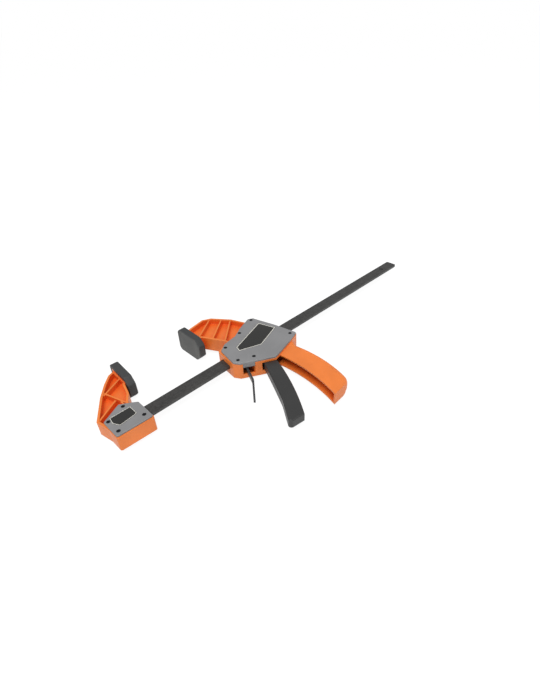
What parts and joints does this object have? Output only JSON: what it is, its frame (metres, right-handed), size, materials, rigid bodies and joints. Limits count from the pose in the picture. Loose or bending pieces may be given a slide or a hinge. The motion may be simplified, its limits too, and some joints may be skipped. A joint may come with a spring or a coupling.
{
  "type": "quick release bar clamp",
  "caption": "One-handed bar clamp with a fixed jaw, a sliding trigger head, a sprung release lever and soft pads on a flat steel bar.",
  "frame": {"origin": "centre of the fixed pad's clamping face", "axes": "+X along the bar from the fixed jaw towards the moving head, +Y from the bar towards the jaw tips, +Z out of the screwed covers; the clamp lies on its side"},
  "size_m": [0.7055, 0.304, 0.043],
  "materials": {
    "black_steel": "black oxide, satin, faintly brushed along the bar",
    "orange_nylon": "fine spark-eroded texture",
    "grey_cover": "smooth satin",
    "badge_insert": "smooth, with a pale border line and no lettering",
    "black_screw": "black oxide",
    "black_rubber": "matt, finely textured",
    "bright_steel": "ground",
    "spring_steel": "drawn wire",
    "black_nylon": "matt, lightly grained",
    "lever_steel": "dark plated sheet"
  },
  "bodies": {
    "frame": {"bar": "black_steel", "fixed_jaw": "orange_nylon", "fixed_jaw_anchor_pins": "bright_steel", "fixed_jaw_cover": "grey_cover", "fixed_jaw_badge": "badge_insert", "fixed_jaw_cover_screws": "black_screw", "fixed_jaw_pad": "black_rubber"},
    "head": {"head_housing": "orange_nylon", "head_cover": "grey_cover", "head_badge": "badge_insert", "head_cover_screws": "black_screw", "moving_jaw_pad": "black_rubber", "trigger_pivot_pin": "bright_steel", "release_lever_fulcrum_pin": "bright_steel", "drive_spring": "spring_steel", "brake_spring": "spring_steel"},
    "trigger": {"trigger": "black_nylon"},
    "drive_plates": {"drive_plate_1": "bright_steel", "drive_plate_2": "bright_steel"},
    "release_lever": {"release_lever": "lever_steel"}
  },
  "joints": [
    {"name": "head_slide", "type": "slide", "parent": "frame", "child": "head", "axis": [1, 0, 0], "range_m": [-0.118, 0.33]},
    {"name": "trigger_squeeze", "type": "hinge", "parent": "head", "child": "trigger", "pos_m": [0.204, -0.063, 0], "axis": [0, 0, 1], "range_deg": [0, 14.5], "stiffness_Nm_per_rad": 3, "springref_deg": -8.59},
    {"name": "drive_plates_slide", "type": "slide", "parent": "head", "child": "drive_plates", "axis": [1, 0, 0], "range_m": [0, 0.0107], "deforming": ["drive_spring"]},
    {"name": "release_lever_press", "type": "hinge", "parent": "head", "child": "release_lever", "pos_m": [0.151, -0.073, 0], "axis": [0, 0, 1], "range_deg": [0, 7.5], "stiffness_Nm_per_rad": 0.6, "springref_deg": -17.19, "deforming": ["brake_spring"]}
  ],
  "couplings": [
    {"joint": "drive_plates_slide", "follows": "trigger_squeeze", "m_per_rad": 0.041888}
  ]
}
